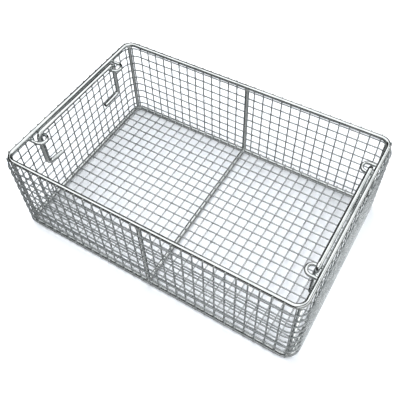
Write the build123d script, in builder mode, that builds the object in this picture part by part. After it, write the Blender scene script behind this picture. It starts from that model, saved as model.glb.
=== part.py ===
from build123d import *
import math
import os

os.makedirs("parts", exist_ok=True)

# Autoclave basket of round stainless rod, lined with welded wire mesh.
# The origin is the middle of the base on the table, +Z is up, X is the long way.
# All sizes are millimetres, and lengths of bent rod run between rod centres.

# Frame
frame_length = 400.0
frame_width = 260.0
frame_corner = 13.0
frame_rod = 6.0
rim_rise = 127.6
corner_post_rod = 5.0
middle_rod = 5.5

# Welded mesh of the walls and the floor. A phase is how far the middle wire of a
# row stands from the middle of its wall, and a row fills its side of the frame.
mesh_wire = 1.8
back_pitch = 13.65
front_pitch = 13.5
side_pitch = 13.6
cross_pitch = 13.65
long_pitch = 13.55
hoop_pitch = 13.72
hoop_drop = 12.0
hoop_room = 3.0
corner_room = 2.0
wire_foot = 2.4
wire_head = 1.0
wire_over_ring = 2.2
back_phase = -4.45
front_phase = -8.25
left_phase = 1.6
right_phase = 3.7
cross_phase = 0.75
long_phase = -0.7

# Eyes that guide the handles, and the handles
eye_rod = 4.5
eye_tail = 1.5
left_eye_width = 16.4
right_eye_width = 14.5
left_eye_reach = 20.5
right_eye_reach = 18.0
handle_rod = 6.0
handle_half = 80.0
handle_bend = 7.0
leg_off_centre = 0.5
left_handle_inset = 9.0
right_handle_inset = 7.0
foot_drop = 54.6
near_foot = 25.5
far_foot = 32.0
foot_turn = 3.5
rest_gap = 0.5

# Heights and reaches that follow from the sizes above
half_length = frame_length / 2
half_width = frame_width / 2
ring_height = frame_rod / 2
ring_top = frame_rod
rim_height = ring_height + rim_rise
rim_underside = rim_height - frame_rod / 2
upright_depth = frame_rod / 2 + mesh_wire / 2
hoop_depth = upright_depth + mesh_wire
lower_wires = ring_top + mesh_wire / 2
upper_wires = lower_wires + mesh_wire
bar_height = upper_wires - mesh_wire / 2 - middle_rod / 2
bar_half = half_width - middle_rod / 2
post_inset = frame_corner * (1 - math.sqrt(0.5))
top_hoop = rim_height - hoop_drop
hoop_count = 1 + int((top_hoop - ring_height - hoop_room) / hoop_pitch)
eye_offset = handle_half + leg_off_centre
eye_height = rim_underside - eye_rod / 2
grip_height = eye_height + eye_rod / 2 + rest_gap + handle_rod / 2
foot_height = grip_height - foot_drop - rest_gap


def rounded_frame(depth, rod, height):
    # A closed ring of rod, bent to the frame's outline pushed out by depth
    x = half_length + depth
    y = half_width + depth
    with BuildPart() as ring:
        with BuildLine(Plane.XY.offset(height)) as outline:
            Polyline((0, -y), (x, -y), (x, y), (-x, y), (-x, -y), close=True)
            corners = outline.vertices().filter_by(lambda v: abs(v.X) > frame_corner)
            fillet(corners, radius=frame_corner + depth)
        with BuildSketch(Plane(origin=(0, -y, height), z_dir=(1, 0, 0))):
            Circle(rod / 2)
        sweep(path=outline.wires()[0])
    return ring


def row(phase, pitch, half):
    # Places of the wires that fit along one side of the frame
    steps = int(half / pitch) + 1
    places = [phase + pitch * k for k in range(-steps, steps + 1)]
    return [place for place in places if abs(place) <= half - corner_room]


def corner_loss(along, half, depth):
    # How far the outline has turned in from its straight side at this place
    radius = frame_corner + depth
    overrun = abs(along) - (half - frame_corner)
    if overrun <= 0:
        return 0
    return radius - math.sqrt(radius**2 - overrun**2)


def upright_wires(places):
    # The standing wires of one wall, resting against the rim and the bottom ring
    with BuildPart() as wires:
        with BuildSketch(Plane.XY.offset(wire_foot)):
            with Locations(*places):
                Circle(mesh_wire / 2)
        extrude(amount=rim_height + wire_head - wire_foot)
    return wires


def long_wall(side, phase, pitch):
    places = []
    for x in row(phase, pitch, half_length):
        loss = corner_loss(x, half_length, upright_depth)
        places.append((x, side * (half_width + upright_depth - loss)))
    return upright_wires(places)


def short_wall(side, phase, pitch):
    places = []
    for y in row(phase, pitch, half_width):
        loss = corner_loss(y, half_width, upright_depth)
        places.append((side * (half_length + upright_depth - loss), y))
    return upright_wires(places)


def post(x, y, rod):
    # A post between bottom ring and rim, its ends shaped to sit on both rods
    with BuildPart() as standing:
        with BuildSketch(Plane.XY.offset(ring_height)):
            with Locations((x, y)):
                Circle(rod / 2)
        extrude(amount=rim_rise)
        add(bottom_ring.part, mode=Mode.SUBTRACT)
        add(rim_ring.part, mode=Mode.SUBTRACT)
    return standing


def eye(side, y, width, reach):
    # A U of rod lying under the rim, its round end pointing into the basket
    outer = side * (half_length + eye_tail)
    bend = side * (half_length - reach + width / 2)
    tip = side * (half_length - reach)
    with BuildPart() as loop:
        with BuildLine(Plane.XY.offset(eye_height)) as outline:
            Line((outer, y - width / 2), (bend, y - width / 2))
            ThreePointArc((bend, y - width / 2), (tip, y), (bend, y + width / 2))
            Line((bend, y + width / 2), (outer, y + width / 2))
        with BuildSketch(Plane(origin=(outer, y - width / 2, eye_height), z_dir=(-side, 0, 0))):
            Circle(eye_rod / 2)
        sweep(path=outline.wires()[0])
    return loop


def handle(side, inset):
    # A bail whose legs hang through two eyes and end in feet turned to each other
    x = side * (half_length - inset)
    turned = x - side * foot_turn
    near = -handle_half
    with BuildPart() as bail:
        with BuildLine() as outline:
            FilletPolyline(
                (turned, near + near_foot, foot_height),
                (x, near, foot_height),
                (x, near, grip_height),
                (x, handle_half, grip_height),
                (x, handle_half, foot_height),
                (x, handle_half - far_foot, foot_height),
                radius=handle_bend,
            )
        start = outline.wires()[0]
        with BuildSketch(Plane(origin=start @ 0, z_dir=start % 0)):
            Circle(handle_rod / 2)
        sweep(path=start)
    return bail


def save(piece, name):
    piece.part.label = name
    export_step(piece.part, f"parts/{name}.step")


# Rim and bottom ring
rim_ring = rounded_frame(0, frame_rod, rim_height)
bottom_ring = rounded_frame(0, frame_rod, ring_height)
save(rim_ring, "rim_ring")
save(bottom_ring, "bottom_ring")

# Posts
post_x = half_length - post_inset
post_y = half_width - post_inset
corner_names = {
    "front_left": (-post_x, -post_y),
    "front_right": (post_x, -post_y),
    "back_left": (-post_x, post_y),
    "back_right": (post_x, post_y),
}
for name, (x, y) in corner_names.items():
    save(post(x, y, corner_post_rod), f"corner_post_{name}")
save(post(0, -half_width, middle_rod), "middle_post_front")
save(post(0, half_width, middle_rod), "middle_post_back")

# The bar across the middle of the floor takes the place of one mesh wire
with BuildPart() as floor_bar:
    with BuildSketch(Plane(origin=(0, -bar_half, bar_height), z_dir=(0, 1, 0))):
        Circle(middle_rod / 2)
    extrude(amount=2 * bar_half)
    add(bottom_ring.part, mode=Mode.SUBTRACT)
save(floor_bar, "floor_bar")

# Floor mesh: cross wires lie on the bottom ring, long wires lie on the cross wires
with BuildPart() as floor_cross_wires:
    for x in row(cross_phase, cross_pitch, half_length):
        if x == cross_phase:
            continue
        y = half_width + wire_over_ring - corner_loss(x, half_length, 0)
        with BuildSketch(Plane(origin=(x, -y, lower_wires), z_dir=(0, 1, 0))):
            Circle(mesh_wire / 2)
        extrude(amount=2 * y)
save(floor_cross_wires, "floor_cross_wires")

with BuildPart() as floor_long_wires:
    for y in row(long_phase, long_pitch, half_width):
        x = half_length + wire_over_ring - corner_loss(y, half_width, 0)
        with BuildSketch(Plane(origin=(-x, y, upper_wires), z_dir=(1, 0, 0))):
            Circle(mesh_wire / 2)
        extrude(amount=2 * x)
save(floor_long_wires, "floor_long_wires")

# Wall mesh: upright wires against the frame, hoops round the outside of them
save(long_wall(1, back_phase, back_pitch), "back_wall_uprights")
save(long_wall(-1, front_phase, front_pitch), "front_wall_uprights")
save(short_wall(-1, left_phase, side_pitch), "left_wall_uprights")
save(short_wall(1, right_phase, side_pitch), "right_wall_uprights")
for k in range(hoop_count):
    hoop = rounded_frame(hoop_depth, mesh_wire, top_hoop - hoop_pitch * k)
    save(hoop, f"wall_hoop_{k + 1}")

# Handle eyes and handles
save(eye(-1, -eye_offset, left_eye_width, left_eye_reach), "handle_eye_left_front")
save(eye(-1, eye_offset, left_eye_width, left_eye_reach), "handle_eye_left_back")
save(eye(1, -eye_offset, right_eye_width, right_eye_reach), "handle_eye_right_front")
save(eye(1, eye_offset, right_eye_width, right_eye_reach), "handle_eye_right_back")
save(handle(-1, left_handle_inset), "handle_left")
save(handle(1, right_handle_inset), "handle_right")
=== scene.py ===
import math

import bmesh
import bpy
from mathutils import Matrix, Vector, noise


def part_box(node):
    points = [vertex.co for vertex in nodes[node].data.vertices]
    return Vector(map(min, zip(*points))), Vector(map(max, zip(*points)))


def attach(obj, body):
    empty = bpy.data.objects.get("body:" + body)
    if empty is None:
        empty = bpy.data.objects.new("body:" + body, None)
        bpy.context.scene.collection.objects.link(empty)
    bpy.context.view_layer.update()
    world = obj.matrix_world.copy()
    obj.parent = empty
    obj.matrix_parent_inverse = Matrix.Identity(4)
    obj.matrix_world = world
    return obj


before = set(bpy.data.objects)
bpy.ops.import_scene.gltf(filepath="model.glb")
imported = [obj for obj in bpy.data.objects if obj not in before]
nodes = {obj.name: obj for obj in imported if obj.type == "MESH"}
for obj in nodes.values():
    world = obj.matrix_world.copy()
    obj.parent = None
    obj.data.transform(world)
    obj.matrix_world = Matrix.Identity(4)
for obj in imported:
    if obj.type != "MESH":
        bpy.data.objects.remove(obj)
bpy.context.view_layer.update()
mm = 0.001
up = Vector((0, 0, 1))
print("frame loaded:", len(nodes), "nodes")


def hexColour(code):
    # sRGB hex to the linear colour that the shaders work in
    channels = [int(code[i:i + 2], 16) / 255 for i in (1, 3, 5)]
    return [c / 12.92 if c <= 0.04045 else ((c + 0.055) / 1.055) ** 2.4 for c in channels] + [1.0]


def addNode(tree, kind, settings=None, links=None):
    # adds one node, sets its properties or sockets, and plugs other sockets into it
    node = tree.nodes.new(kind)
    for name, value in (settings or {}).items():
        if isinstance(name, str) and hasattr(node, name):
            setattr(node, name, value)
        else:
            node.inputs[name].default_value = value
    for name, source in (links or {}).items():
        tree.links.new(source, node.inputs[name])
    return node


def newMaterial(name):
    material = bpy.data.materials.new(name)
    material.use_nodes = True
    material.node_tree.nodes.clear()
    return material, material.node_tree


def dress(piece, material):
    piece.data.materials.clear()
    piece.data.materials.append(material)


rodFinish = {
    "colour": "#d4d8d8",
    "smudgeColour": "#b9bebe",
    "roughness": 0.13,
    "smudgeRoughness": 0.24,
    "smudgeSize": 22.0,       # mm, handling and cleaning marks
    "grainSize": 0.6,         # mm, the soft orange peel that electropolishing leaves
    "grainHeight": 0.02,      # mm
}


def electropolishedStainlessRod(finish):
    # 304 stainless rod, cold drawn and electropolished: bright with soft-edged
    # reflections, a slight peel, and duller patches where it is handled and washed
    material, tree = newMaterial("electropolishedStainlessRod")
    place = addNode(tree, "ShaderNodeTexCoord")
    smudge = addNode(tree, "ShaderNodeTexNoise",
                     {"Scale": 1 / (finish["smudgeSize"] * mm), "Detail": 3.0, "Roughness": 0.55},
                     {"Vector": place.outputs["Object"]})
    smudgeMask = addNode(tree, "ShaderNodeMapRange",
                         {"From Min": 0.45, "From Max": 0.75},
                         {"Value": smudge.outputs["Fac"]})
    colour = addNode(tree, "ShaderNodeMix",
                     {"data_type": "RGBA", 6: hexColour(finish["colour"]),
                      7: hexColour(finish["smudgeColour"])},
                     {0: smudgeMask.outputs["Result"]})
    rough = addNode(tree, "ShaderNodeMapRange",
                    {"To Min": finish["roughness"], "To Max": finish["smudgeRoughness"]},
                    {"Value": smudgeMask.outputs["Result"]})
    grain = addNode(tree, "ShaderNodeTexNoise",
                    {"Scale": 1 / (finish["grainSize"] * mm), "Detail": 2.0},
                    {"Vector": place.outputs["Object"]})
    bump = addNode(tree, "ShaderNodeBump",
                   {"Strength": 0.35, "Distance": finish["grainHeight"] * mm},
                   {"Height": grain.outputs["Fac"]})
    shader = addNode(tree, "ShaderNodeBsdfPrincipled", {"Metallic": 1.0},
                     {"Base Color": colour.outputs[2], "Roughness": rough.outputs["Result"],
                      "Normal": bump.outputs["Normal"]})
    addNode(tree, "ShaderNodeOutputMaterial", None, {"Surface": shader.outputs["BSDF"]})
    return material


wireFinish = {
    "colour": "#bdc2c4",
    "darkColour": "#9ca2a4",
    "roughness": 0.22,
    "dullRoughness": 0.36,
    "patchSize": 9.0,         # mm, uneven brightness along the wires
    "scratchSize": 0.35,      # mm, die marks, drawn coarser than the real 0.05 mm so that they show
    "scratchHeight": 0.01,    # mm
}

# the cross wires of the floor are painted a lighter colour, a painted sheen standing in for the brighter
# reflection of the lamps that they catch
brightWireFinish = dict(wireFinish, colour="#d6dadb", darkColour="#b7bcbe")


def drawnStainlessWire(name, finish):
    # thin welded mesh wire, drawn through a die and pickled: greyer and less
    # even than the rods, with fine marks along it
    material, tree = newMaterial(name)
    place = addNode(tree, "ShaderNodeTexCoord")
    patch = addNode(tree, "ShaderNodeTexNoise",
                    {"Scale": 1 / (finish["patchSize"] * mm), "Detail": 4.0, "Roughness": 0.6},
                    {"Vector": place.outputs["Object"]})
    patchMask = addNode(tree, "ShaderNodeMapRange",
                        {"From Min": 0.4, "From Max": 0.7},
                        {"Value": patch.outputs["Fac"]})
    colour = addNode(tree, "ShaderNodeMix",
                     {"data_type": "RGBA", 6: hexColour(finish["colour"]),
                      7: hexColour(finish["darkColour"])},
                     {0: patchMask.outputs["Result"]})
    rough = addNode(tree, "ShaderNodeMapRange",
                    {"To Min": finish["roughness"], "To Max": finish["dullRoughness"]},
                    {"Value": patchMask.outputs["Result"]})
    marks = addNode(tree, "ShaderNodeTexNoise",
                    {"Scale": 1 / (finish["scratchSize"] * mm), "Detail": 2.0},
                    {"Vector": place.outputs["Object"]})
    bump = addNode(tree, "ShaderNodeBump",
                   {"Strength": 0.4, "Distance": finish["scratchHeight"] * mm},
                   {"Height": marks.outputs["Fac"]})
    shader = addNode(tree, "ShaderNodeBsdfPrincipled", {"Metallic": 1.0},
                     {"Base Color": colour.outputs[2], "Roughness": rough.outputs["Result"],
                      "Normal": bump.outputs["Normal"]})
    addNode(tree, "ShaderNodeOutputMaterial", None, {"Surface": shader.outputs["BSDF"]})
    return material


weldFinish = {
    "colour": "#c0c4c3",
    "tintColour": "#a29b8f",
    "roughness": 0.38,
    "tintSize": 4.0,          # mm
    "rippleSize": 0.8,        # mm
    "rippleHeight": 0.06,     # mm
}


def pickledStainlessWeld(finish):
    # resistance and TIG welds, pickled after welding: duller than the rod,
    # a little rippled, with a last trace of straw heat tint
    material, tree = newMaterial("pickledStainlessWeld")
    place = addNode(tree, "ShaderNodeTexCoord")
    tint = addNode(tree, "ShaderNodeTexNoise",
                   {"Scale": 1 / (finish["tintSize"] * mm), "Detail": 3.0},
                   {"Vector": place.outputs["Object"]})
    tintMask = addNode(tree, "ShaderNodeMapRange",
                       {"From Min": 0.5, "From Max": 0.8, "To Max": 0.6},
                       {"Value": tint.outputs["Fac"]})
    colour = addNode(tree, "ShaderNodeMix",
                     {"data_type": "RGBA", 6: hexColour(finish["colour"]),
                      7: hexColour(finish["tintColour"])},
                     {0: tintMask.outputs["Result"]})
    ripple = addNode(tree, "ShaderNodeTexNoise",
                     {"Scale": 1 / (finish["rippleSize"] * mm), "Detail": 1.0},
                     {"Vector": place.outputs["Object"]})
    bump = addNode(tree, "ShaderNodeBump",
                   {"Strength": 0.6, "Distance": finish["rippleHeight"] * mm},
                   {"Height": ripple.outputs["Fac"]})
    shader = addNode(tree, "ShaderNodeBsdfPrincipled",
                     {"Metallic": 1.0, "Roughness": finish["roughness"]},
                     {"Base Color": colour.outputs[2], "Normal": bump.outputs["Normal"]})
    addNode(tree, "ShaderNodeOutputMaterial", None, {"Surface": shader.outputs["BSDF"]})
    return material


rodMetal = electropolishedStainlessRod(rodFinish)
wireMetal = drawnStainlessWire("drawnStainlessWire", wireFinish)
# the lighter wire metal is a painted sheen, not a different wire
brightWireMetal = drawnStainlessWire("sheenPaintedDrawnStainlessWire", brightWireFinish)
weldMetal = pickledStainlessWeld(weldFinish)
for name, piece in nodes.items():
    isWire = name.startswith("wall_hoop") or name.endswith("uprights") or name.endswith("wires")
    dress(piece, wireMetal if isWire else rodMetal)
# the floor's cross wires take the lighter metal, a painted sheen for their brighter reflection
dress(nodes["floor_cross_wires"], brightWireMetal)
print("metals made")

weldSizes = {                 # mm, apart from the last three
    "nuggetWidth": 1.35,      # half width of a crossing weld
    "nuggetHeight": 0.62,     # half height of it, across the joint
    "footRise": 0.7,          # height of a foot's weld above the middle of the bottom ring
    "headRise": 1.5,          # height of the bead over a wire's end above the middle of the rim
    "headWidth": 1.15,        # half width of that bead
    "headHeight": 0.85,       # half height of it
    "floorEndInset": 2.2,     # how far a floor wire's weld sits in from the wire's end
    "beadRadius": 0.95,       # fillet round the foot of a post
    "eyeWidth": 2.9,          # half width of the fillet between an eye's arm and the rim
    "eyeHeight": 1.0,         # half height of it
    "seamRadius": 0.3,        # bead of a butt weld in a ring
    "seamDepth": 0.12,        # how far that bead is sunk into the rod
    "seamX": -14.5,           # where the seams lie on the back side
    "unevenness": 0.12,       # share of a weld's size that varies
    "nuggetWaves": 700,       # how fast it varies from place to place, waves in a metre
    "beadWaves": 900,
}

# sizes that the solids already have
wireRadius = 0.9 * mm
rodRadius = 3.0 * mm
cornerRadius = 13 * mm        # of the rim, at the middle of its rod


def meshIslands(piece):
    # the separate wires of a CAD node, each as its lowest and highest corner, in
    # order of place, because a set of vertices comes in another order each run
    mesh = bmesh.new()
    mesh.from_mesh(piece.data)
    bmesh.ops.remove_doubles(mesh, verts=mesh.verts, dist=0.001 * mm)
    waiting = set(mesh.verts)
    islands = []
    while waiting:
        front = [waiting.pop()]
        low = front[0].co.copy()
        high = front[0].co.copy()
        while front:
            vert = front.pop()
            for axis in range(3):
                low[axis] = min(low[axis], vert.co[axis])
                high[axis] = max(high[axis], vert.co[axis])
            for edge in vert.link_edges:
                other = edge.other_vert(vert)
                if other in waiting:
                    waiting.remove(other)
                    front.append(other)
        islands.append((low, high))
    mesh.free()
    return sorted(islands, key=lambda corners: tuple(corners[0]))


def middle(corners):
    low, high = corners
    return [(a + b) / 2 for a, b in zip(low, high)]


def outwardAt(x, y):
    # which way the wall faces at a place on its line, corners included
    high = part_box("rim_ring")[1]
    overX = max(abs(x) - (high[0] - rodRadius - cornerRadius), 0)
    overY = max(abs(y) - (high[1] - rodRadius - cornerRadius), 0)
    if overX > 0 and overY > 0:
        return Vector((math.copysign(overX, x), math.copysign(overY, y), 0)).normalized()
    if overX > overY:
        return Vector((math.copysign(1, x), 0, 0))
    return Vector((0, math.copysign(1, y), 0))


def addNugget(mesh, centre, normal, width, height):
    # a squashed bead of metal, flat along the normal
    grow = 1 + weldSizes["unevenness"] * noise.noise(centre * weldSizes["nuggetWaves"])
    turn = normal.to_track_quat("Z", "Y").to_matrix().to_4x4()
    stretch = Matrix.Diagonal((width * grow, width * grow, height * grow, 1))
    place = Matrix.Translation(centre) @ turn @ stretch
    bmesh.ops.create_icosphere(mesh, subdivisions=1, radius=1.0, matrix=place)


def addRingBead(mesh, centre, axis, ringRadius, beadRadius, steps=20, around=6):
    # a torus of weld metal round a rod, a little uneven in thickness
    turn = axis.to_track_quat("Z", "Y").to_matrix()
    rows = []
    for i in range(steps):
        a = 2 * math.pi * i / steps
        outward = turn @ Vector((math.cos(a), math.sin(a), 0))
        spot = centre + outward * ringRadius
        bead = beadRadius * (1 + weldSizes["unevenness"] * noise.noise(spot * weldSizes["beadWaves"]))
        circle = []
        for j in range(around):
            b = 2 * math.pi * j / around
            circle.append(mesh.verts.new(spot + outward * bead * math.cos(b)
                                         + turn @ Vector((0, 0, bead * math.sin(b)))))
        rows.append(circle)
    for i in range(steps):
        after = rows[(i + 1) % steps]
        for j in range(around):
            k = (j + 1) % around
            mesh.faces.new((rows[i][j], after[j], after[k], rows[i][k]))


def joinedPiece(name, mesh, material, body):
    data = bpy.data.meshes.new(name)
    mesh.to_mesh(data)
    mesh.free()
    for face in data.polygons:
        face.use_smooth = True
    piece = bpy.data.objects.new(name, data)
    bpy.context.scene.collection.objects.link(piece)
    dress(piece, material)
    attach(piece, body)


hoopHeights = [middle(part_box(name))[2] for name in nodes if name.startswith("wall_hoop")]
rimHeight = middle(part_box("rim_ring"))[2]
ringHeight = middle(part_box("bottom_ring"))[2]
width = weldSizes["nuggetWidth"] * mm
height = weldSizes["nuggetHeight"] * mm

# wall mesh: a nugget at each crossing, and each upright's foot and head on the frame
wallMesh = bmesh.new()
frameMesh = bmesh.new()
for wall in ("back", "front", "left", "right"):
    for corners in meshIslands(nodes[wall + "_wall_uprights"]):
        x, y, _ = middle(corners)
        outward = outwardAt(x, y)
        for z in hoopHeights:
            addNugget(wallMesh, Vector((x, y, z)) + outward * wireRadius, outward, width, height)
        foot = Vector((x, y, ringHeight + weldSizes["footRise"] * mm)) - outward * wireRadius
        addNugget(frameMesh, foot, outward, width, height)
        head = Vector((x, y, rimHeight + weldSizes["headRise"] * mm)) - outward * wireRadius / 2
        addNugget(frameMesh, head, (outward + up).normalized(), weldSizes["headWidth"] * mm,
                  weldSizes["headHeight"] * mm)
joinedPiece("wallMeshWelds", wallMesh, weldMetal, "basket")

# floor mesh: a nugget at each crossing, and one at each wire's end on the bottom ring
floorMesh = bmesh.new()
crossWires = meshIslands(nodes["floor_cross_wires"])
inset = weldSizes["floorEndInset"] * mm
for lowLong, highLong in meshIslands(nodes["floor_long_wires"]):
    y = (lowLong[1] + highLong[1]) / 2
    for corners in crossWires + [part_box("floor_bar")]:
        addNugget(floorMesh, Vector((middle(corners)[0], y, lowLong[2])), up, width, height)
    for x in (lowLong[0] + inset, highLong[0] - inset):
        addNugget(frameMesh, Vector((x, y, lowLong[2] - wireRadius)), up, width, height * 2)
for low, high in crossWires:
    x = (low[0] + high[0]) / 2
    for y in (low[1] + inset, high[1] - inset):
        addNugget(frameMesh, Vector((x, y, low[2])), up, width, height)
joinedPiece("floorMeshWelds", floorMesh, weldMetal, "basket")

# posts, handle eyes and the two ring seams
for name in nodes:
    if not name.startswith(("corner_post", "middle_post")):
        continue
    low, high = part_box(name)
    x, y, _ = middle((low, high))
    radius = (high[0] - low[0]) / 2
    for z in (ringHeight + rodRadius, rimHeight - rodRadius):
        addRingBead(frameMesh, Vector((x, y, z)), up, radius, weldSizes["beadRadius"] * mm)
for name in nodes:
    if not name.startswith("handle_eye"):
        continue
    low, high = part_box(name)
    side = math.copysign(1, middle((low, high))[0])
    armRadius = (high[2] - low[2]) / 2
    rimX = side * (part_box("rim_ring")[1][0] - rodRadius)
    for y in (low[1] + armRadius, high[1] - armRadius):
        addNugget(frameMesh, Vector((rimX, y, rimHeight - rodRadius)), up,
                  weldSizes["eyeWidth"] * mm, weldSizes["eyeHeight"] * mm)
for ring, z in (("rim_ring", rimHeight), ("bottom_ring", ringHeight)):
    spot = Vector((weldSizes["seamX"] * mm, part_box(ring)[1][1] - rodRadius, z))
    addRingBead(frameMesh, spot, Vector((1, 0, 0)), rodRadius - weldSizes["seamDepth"] * mm,
                weldSizes["seamRadius"] * mm, steps=28)
joinedPiece("frameWelds", frameMesh, weldMetal, "basket")
print("welds made")

paper = {
    "colour": "#eef2f7",
    "side": 3.2,              # m
    "roughness": 0.9,
    "fibreSize": 10 / 9,      # mm, drawn coarser than the real 0.1 mm so that it shows
    "fibreHeight": 0.05,      # mm
}


def mattWhitePaper(settings):
    # uncoated background paper off a roll: an even white without gloss, faintly
    # fibrous close up, so that the basket's soft shadow reads clearly on it
    material, tree = newMaterial("mattWhitePaper")
    place = addNode(tree, "ShaderNodeTexCoord")
    fibre = addNode(tree, "ShaderNodeTexNoise",
                    {"Scale": 1 / (settings["fibreSize"] * mm), "Detail": 2.0},
                    {"Vector": place.outputs["Object"]})
    bump = addNode(tree, "ShaderNodeBump",
                   {"Strength": 0.05, "Distance": settings["fibreHeight"] * mm},
                   {"Height": fibre.outputs["Fac"]})
    shader = addNode(tree, "ShaderNodeBsdfPrincipled",
                     {"Base Color": hexColour(settings["colour"]), "Roughness": settings["roughness"],
                      "Specular IOR Level": 0.2},
                     {"Normal": bump.outputs["Normal"]})
    addNode(tree, "ShaderNodeOutputMaterial", None, {"Surface": shader.outputs["BSDF"]})
    return material


half = paper["side"] / 2
data = bpy.data.meshes.new("studioFloor")
data.from_pydata([(-half, -half, 0), (half, -half, 0), (half, half, 0), (-half, half, 0)],
                 [], [(0, 1, 2, 3)])
floor = bpy.data.objects.new("studioFloor", data)
bpy.context.scene.collection.objects.link(floor)
dress(floor, mattWhitePaper(paper))
floor.visible_glossy = False    # the metal mirrors the studio dome below the horizon instead

dome = {
    # what the metal mirrors around the basket: which way each part lies, how far
    # round it starts, and its brightness against the sine of the height angle
    "surroundings": (
        # the dim room all round, with paler paper further off
        ((0, 0), -1.0, ((-1.0, 0.03), (-0.6, 0.02), (-0.45, 0.3), (-0.1, 0.3), (0.0, 0.02),
                        (0.6, 0.02), (1.0, 0.04))),
        # lit paper on the near side, shaded right below the basket
        ((0.75, -0.66), 0.08, ((-1.0, 0.0), (-0.95, 0.06), (-0.9, 0.76), (-0.8, 0.62), (-0.72, 0.42),
                               (-0.6, 0.36), (-0.4, 0.05), (-0.2, 0.0), (1.0, 0.0))),
        # a white card on the right
        ((1.0, 0.0), 0.38, ((-1.0, 0.0), (0.05, 0.0), (0.16, 1.3), (0.6, 1.3), (0.75, 0.0), (1.0, 0.0))),
    ),
    "softEdge": 0.22,         # how gradually each part starts
    "backdrop": 0.95,         # what shows behind the paper
}


def studioDome(settings):
    # each part of the surroundings is a ramp by height, masked to its own direction, and they add up
    world = bpy.data.worlds.new("studioDome")
    bpy.context.scene.world = world
    world.use_nodes = True
    tree = world.node_tree
    tree.nodes.clear()
    place = addNode(tree, "ShaderNodeTexCoord")
    split = addNode(tree, "ShaderNodeSeparateXYZ", None, {"Vector": place.outputs["Generated"]})
    heightShare = addNode(tree, "ShaderNodeMapRange",
                          {"From Min": -1.0, "From Max": 1.0},
                          {"Value": split.outputs["Z"]})
    total = None
    for facing, start, levels in settings["surroundings"]:
        ramp = addNode(tree, "ShaderNodeValToRGB", None, {"Fac": heightShare.outputs["Result"]})
        stops = ramp.color_ramp.elements
        for sine, level in levels[1:-1]:
            stops.new((sine + 1) / 2)
        for stop, (sine, level) in zip(stops, levels):
            stop.color = (level, level, level, 1)
        turn = addNode(tree, "ShaderNodeVectorMath",
                       {"operation": "DOT_PRODUCT", 1: (*facing, 0)},
                       {0: place.outputs["Generated"]})
        mask = addNode(tree, "ShaderNodeMapRange",
                       {"interpolation_type": "SMOOTHSTEP", "From Min": start,
                        "From Max": start + settings["softEdge"]},
                       {"Value": turn.outputs["Value"]})
        links = {"Fac": mask.outputs["Result"], "Color2": ramp.outputs["Color"]}
        if total:
            links["Color1"] = total.outputs["Color"]
        total = addNode(tree, "ShaderNodeMixRGB",
                        {"blend_type": "ADD", "Color1": (0, 0, 0, 1)}, links)
    room = addNode(tree, "ShaderNodeBackground", {"Strength": 1.0}, {"Color": total.outputs["Color"]})
    pale = addNode(tree, "ShaderNodeBackground",
                   {"Color": (1, 1, 1, 1), "Strength": settings["backdrop"]})
    path = addNode(tree, "ShaderNodeLightPath")
    mix = addNode(tree, "ShaderNodeMixShader", None,
                  {0: path.outputs["Is Camera Ray"], 1: room.outputs[0], 2: pale.outputs[0]})
    addNode(tree, "ShaderNodeOutputWorld", None, {"Surface": mix.outputs[0]})


studioDome(dome)

lamps = {                     # places and sizes in m
    # name, brightness, height, low and high corner of flat lamps that light the metal
    # only: two soft boxes side by side above, and lit paper close to the right wall
    "metalLamps": (
        ("overheadBox", 1.6, 0.93, (-0.95, -0.83), (0.46, 0.42)),
        ("overheadBox", 1.6, 0.93, (-0.28, 0.42), (0.7, 1.0)),
        ("paperStrip", 2.0, 0.001, (0.215, -0.16), (0.3, 0.16)),
    ),
    # name, power in W, side and place of square lamps that light the paper only
    "paperLamps": (
        ("keyLamp", 53.0, 1.8, (-0.85, 0.5, 1.8)),
        ("fillLamp", 21.0, 1.4, (0.6, -0.8, 1.8)),
        ("skyLamp", 43.0, 5.0, (0.0, 0.0, 2.6)),
    ),
    "aim": (0.0, 0.0, 0.05),  # what the square ones point at
    "floorLampHeight": 0.5,   # flat ones lower than this shine upwards
}


def areaLight(name, size, place, aim, power):
    data = bpy.data.lights.new(name, "AREA")
    data.shape = "RECTANGLE"
    data.size, data.size_y = size
    data.energy = power
    lamp = bpy.data.objects.new(name, data)
    bpy.context.scene.collection.objects.link(lamp)
    lamp.location = place
    lamp.rotation_euler = (Vector(aim) - lamp.location).to_track_quat("-Z", "Y").to_euler()
    lamp.visible_camera = False
    return lamp


for name, level, z, low, high in lamps["metalLamps"]:
    across, deep = high[0] - low[0], high[1] - low[1]
    x, y = (low[0] + high[0]) / 2, (low[1] + high[1]) / 2
    aimHeight = 1 if z < lamps["floorLampHeight"] else 0
    lamp = areaLight(name, (across, deep), (x, y, z), (x, y, aimHeight),
                     level * math.pi * across * deep)
    lamp.visible_diffuse = False
for name, power, side, place in lamps["paperLamps"]:
    lamp = areaLight(name, (side, side), place, lamps["aim"], power)
    lamp.visible_glossy = False

cameraView = {
    "place": (0.24271, -0.37421, 0.63078),
    "target": (-0.00379, -0.00625, 0.063),
    "roll": -3.1,             # degrees
    "lens": 48.75,            # mm
    "sensor": 36,             # mm
    "shift": (0.0135, -0.0362),
    "nearest": 0.01,          # m
    "furthest": 50,           # m
}
cameraData = bpy.data.cameras.new("camera")
cameraData.lens = cameraView["lens"]
cameraData.sensor_width = cameraView["sensor"]
cameraData.shift_x, cameraData.shift_y = cameraView["shift"]
cameraData.clip_start = cameraView["nearest"]
cameraData.clip_end = cameraView["furthest"]
camera = bpy.data.objects.new("camera", cameraData)
bpy.context.scene.collection.objects.link(camera)
camera.location = cameraView["place"]
look = (Vector(cameraView["target"]) - camera.location).to_track_quat("-Z", "Y")
roll = Matrix.Rotation(math.radians(cameraView["roll"]), 4, "Z")
camera.rotation_euler = (look.to_matrix().to_4x4() @ roll).to_euler()
bpy.context.scene.camera = camera
bpy.context.scene.view_settings.view_transform = "Standard"
print("studio and camera set")
